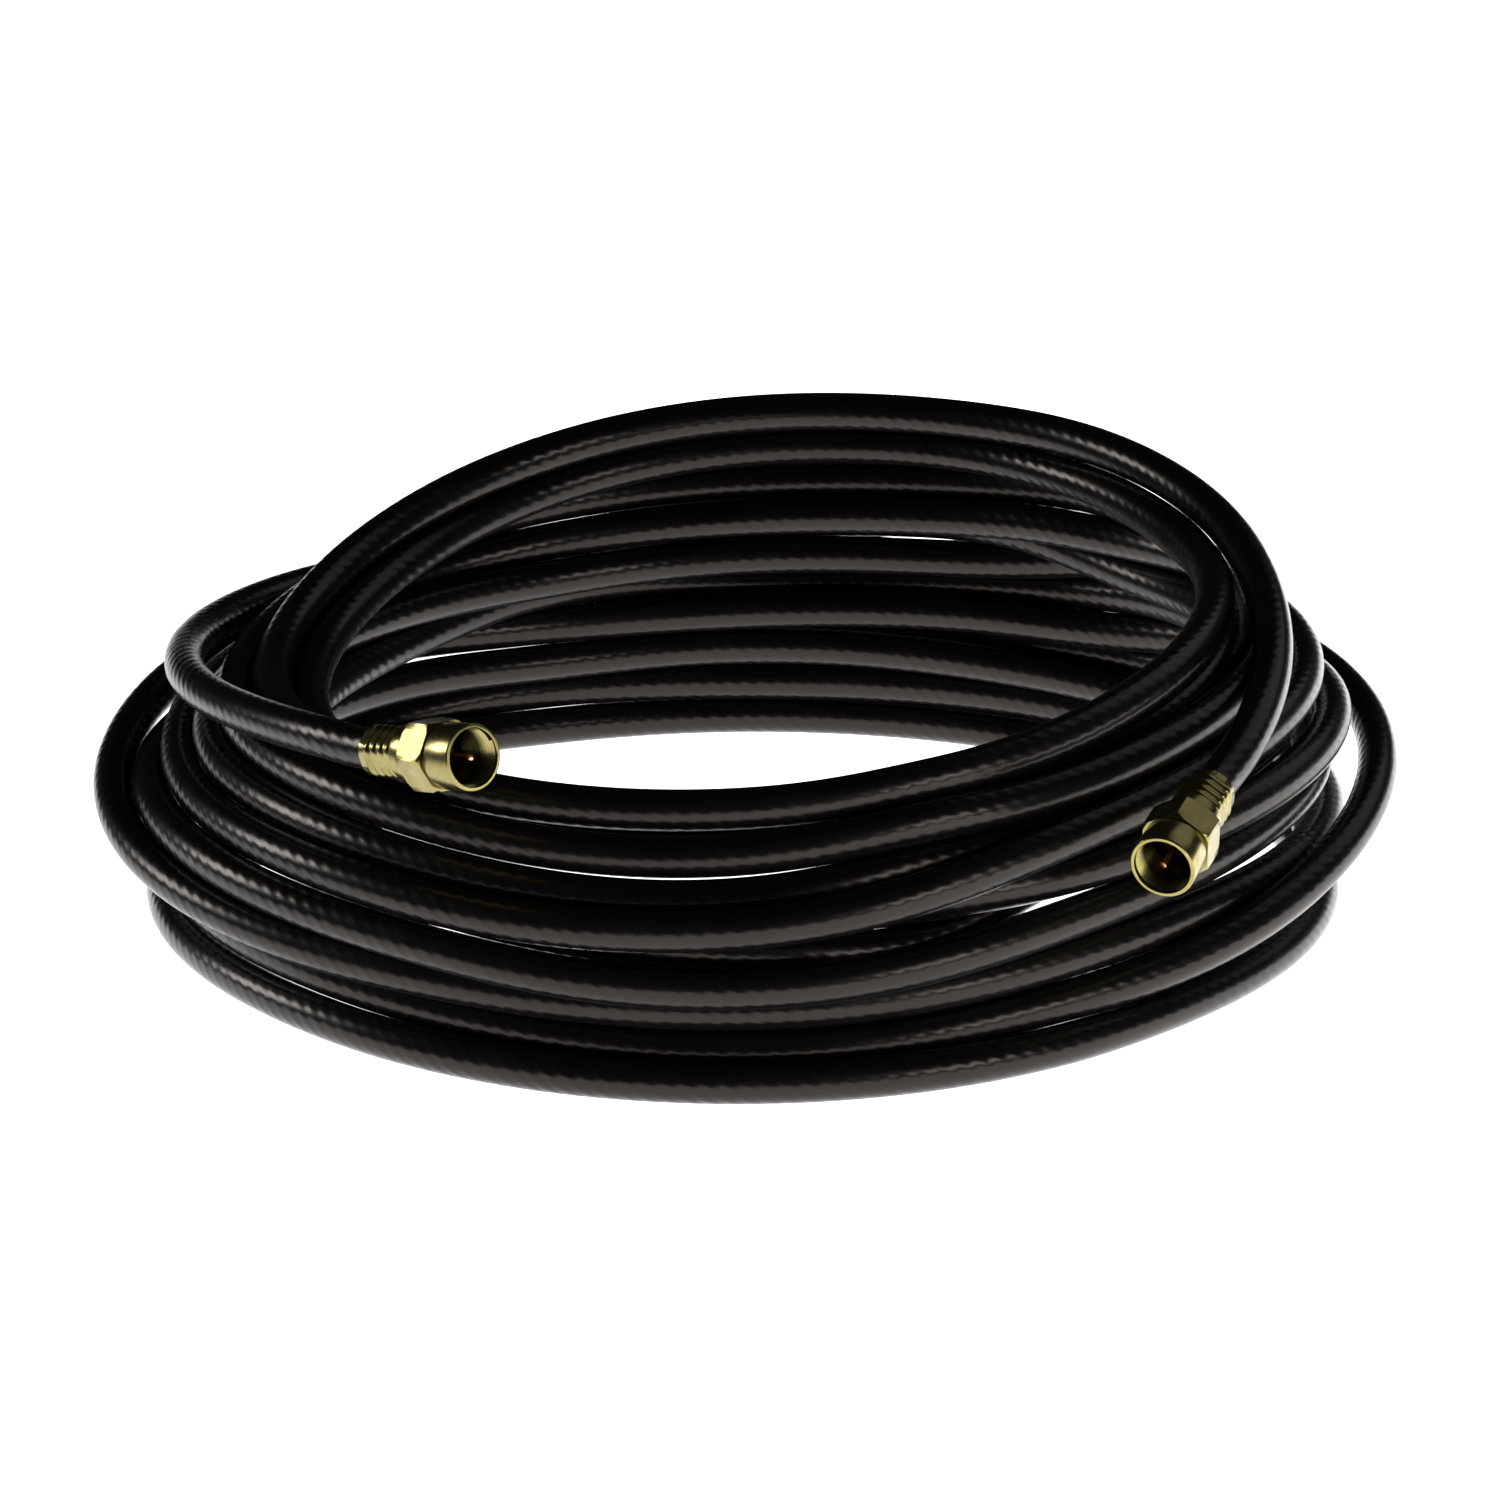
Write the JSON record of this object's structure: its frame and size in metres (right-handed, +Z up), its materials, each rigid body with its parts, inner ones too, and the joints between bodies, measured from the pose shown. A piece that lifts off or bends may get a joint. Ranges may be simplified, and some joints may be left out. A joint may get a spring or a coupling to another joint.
{
  "type": "coaxial cable coil",
  "caption": "Loose flat-lying coil of black coaxial cable with a crimped, screw-on type F plug on each end.",
  "frame": {"origin": "on the floor, in the middle of the coil", "axes": "+Z up out of the coil, +X to the right and +Y to the back as the picture shows it"},
  "size_m": [0.2204, 0.2076, 0.0702],
  "materials": {
    "jacket": "semi-gloss black PVC",
    "ferrule_brass": "bright plated brass",
    "nut_brass": "bright plated brass",
    "post_brass": "satin plated brass",
    "foam": "foamed polyethylene",
    "copper": "bright copper-clad wire"
  },
  "bodies": {
    "coil": {"cable_coil": "jacket", "cable_end_a": "jacket", "crimp_ferrule_a": "ferrule_brass", "inner_post_a": "post_brass", "dielectric_core_a": "foam", "centre_conductor_a": "copper", "cable_end_b": "jacket", "crimp_ferrule_b": "ferrule_brass", "inner_post_b": "post_brass", "dielectric_core_b": "foam", "centre_conductor_b": "copper"},
    "nut_a": {"coupling_nut_a": "nut_brass"},
    "nut_b": {"coupling_nut_b": "nut_brass"}
  },
  "joints": [
    {"name": "nut_a_turn", "type": "hinge", "parent": "coil", "child": "nut_a", "pos_m": [-0.0466, -0.08411, 0.05572], "axis": [0.6468, -0.7361, 0.1997], "continuous": true},
    {"name": "nut_b_turn", "type": "hinge", "parent": "coil", "child": "nut_b", "pos_m": [0.07017, -0.08149, 0.03914], "axis": [-0.3676, -0.9075, -0.2034], "continuous": true}
  ]
}
